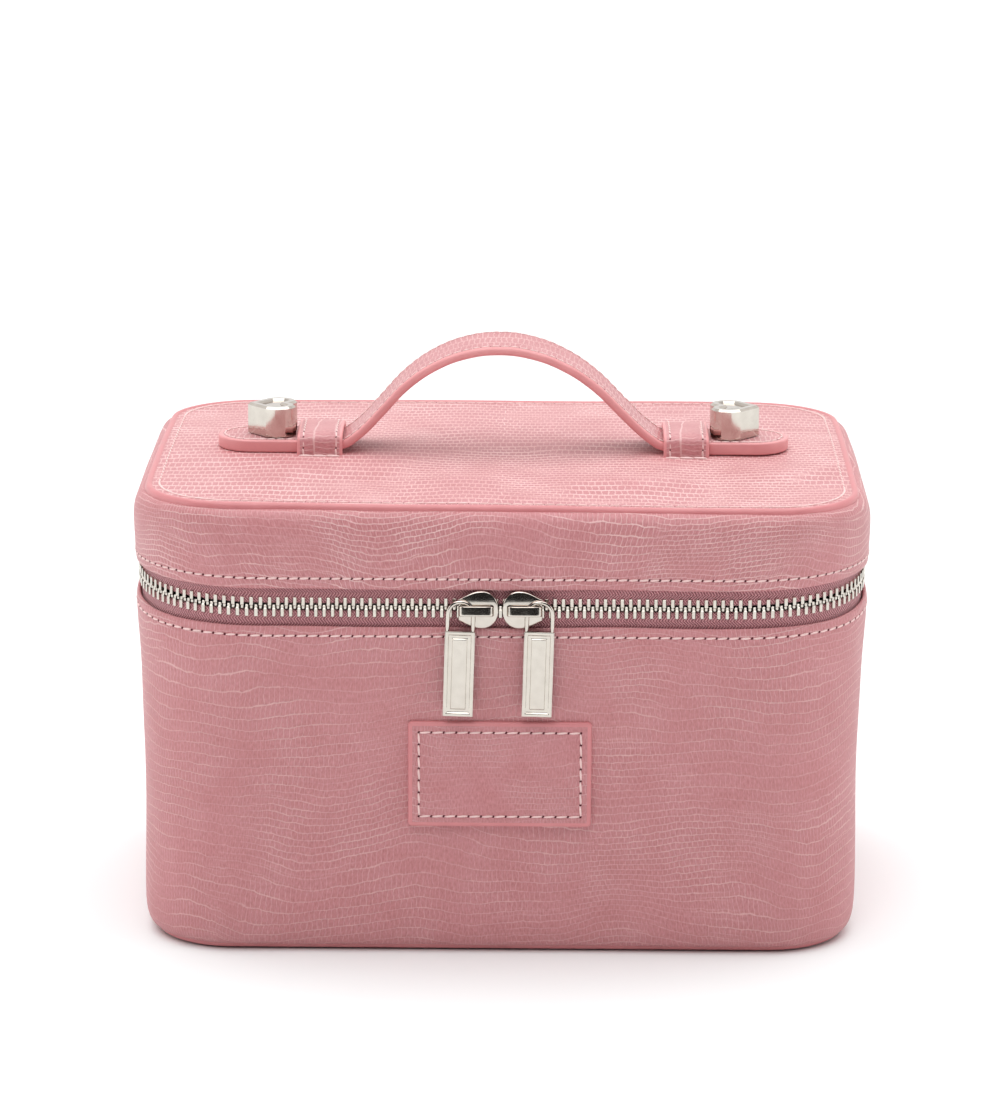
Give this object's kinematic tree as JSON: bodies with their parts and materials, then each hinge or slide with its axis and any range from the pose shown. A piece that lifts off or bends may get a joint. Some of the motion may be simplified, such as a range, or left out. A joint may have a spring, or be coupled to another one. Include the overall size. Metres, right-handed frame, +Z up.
{
  "type": "makeup train case",
  "caption": "Zipped cosmetics case of padded leathercloth over board, with a hinged mirrored lid, a strap handle that slides flat, and two zip sliders with pull tabs.",
  "frame": {"origin": "centre of the base, on the surface that the case stands on", "axes": "+X to the right across the front, +Y from the front with the zip sliders towards the rear hinge, +Z up"},
  "size_m": [0.23, 0.1682, 0.1801],
  "materials": {
    "leather": "lizard-embossed leathercloth, semi-matt",
    "pale_leather": "lizard-embossed leathercloth, semi-matt",
    "painted_edge": "smooth edge paint, satin",
    "board": "grey-brown fibreboard, matt",
    "lining": "plain woven polyester lining",
    "tape": "herringbone woven zip tape",
    "nickel": "polished nickel plate",
    "mirror_glass": "silvered glass"
  },
  "bodies": {
    "case_body": {"base_leather_panel": "leather", "base_piping": "painted_edge", "base_board": "board", "body_leather_wall": "leather", "body_board_wall": "board", "body_lining": "lining", "front_patch": "leather", "zip_tape_lower": "tape", "zip_teeth_lower": "nickel", "zip_stop_left": "nickel", "zip_stop_right": "nickel", "rear_hinge_strip": "leather"},
    "lid": {"lid_leather_wall": "leather", "lid_board_wall": "board", "lid_top_board": "board", "lid_lining": "lining", "lid_piping": "painted_edge", "lid_top_panel": "pale_leather", "lid_mirror": "mirror_glass", "mirror_surround": "leather", "zip_teeth_upper": "nickel", "zip_tape_upper": "tape", "keeper_left": "pale_leather", "keeper_right": "pale_leather", "handle_strap": "pale_leather"},
    "left_strap_end": {"strap_end_left": "pale_leather", "stud_left": "nickel", "stud_screw_left": "nickel"},
    "right_strap_end": {"strap_end_right": "pale_leather", "stud_right": "nickel", "stud_screw_right": "nickel"},
    "left_slider": {"slider_left": "nickel"},
    "right_slider": {"slider_right": "nickel"},
    "left_pull": {"pull_ring_left": "nickel", "pull_tab_left": "nickel"},
    "right_pull": {"pull_ring_right": "nickel", "pull_tab_right": "nickel"}
  },
  "joints": [
    {"name": "lid_hinge", "type": "hinge", "parent": "case_body", "child": "lid", "pos_m": [0, 0.0815, 0.112], "axis": [-1, 0, 0], "range_deg": [0, 105]},
    {"name": "handle_lower", "type": "slide", "parent": "lid", "child": "left_strap_end", "axis": [-1, 0, 0], "range_m": [0, 0.0095], "deforming": ["handle_strap"]},
    {"name": "handle_lower_right", "type": "slide", "parent": "lid", "child": "right_strap_end", "axis": [1, 0, 0], "range_m": [0, 0.0095]},
    {"name": "left_slider_travel", "type": "slide", "parent": "case_body", "child": "left_slider", "axis": [-1, 0, 0], "range_m": [0, 0.055]},
    {"name": "right_slider_travel", "type": "slide", "parent": "case_body", "child": "right_slider", "axis": [1, 0, 0], "range_m": [0, 0.055]},
    {"name": "left_pull_swing", "type": "hinge", "parent": "left_slider", "child": "left_pull", "pos_m": [-0.0121, -0.08405, 0.1122], "axis": [0, 1, 0], "range_deg": [-8, 90]},
    {"name": "right_pull_swing", "type": "hinge", "parent": "right_slider", "child": "right_pull", "pos_m": [0.0121, -0.08405, 0.1122], "axis": [0, -1, 0], "range_deg": [-8, 90]}
  ],
  "couplings": [
    {"joint": "handle_lower_right", "follows": "handle_lower", "ratio": 1}
  ]
}
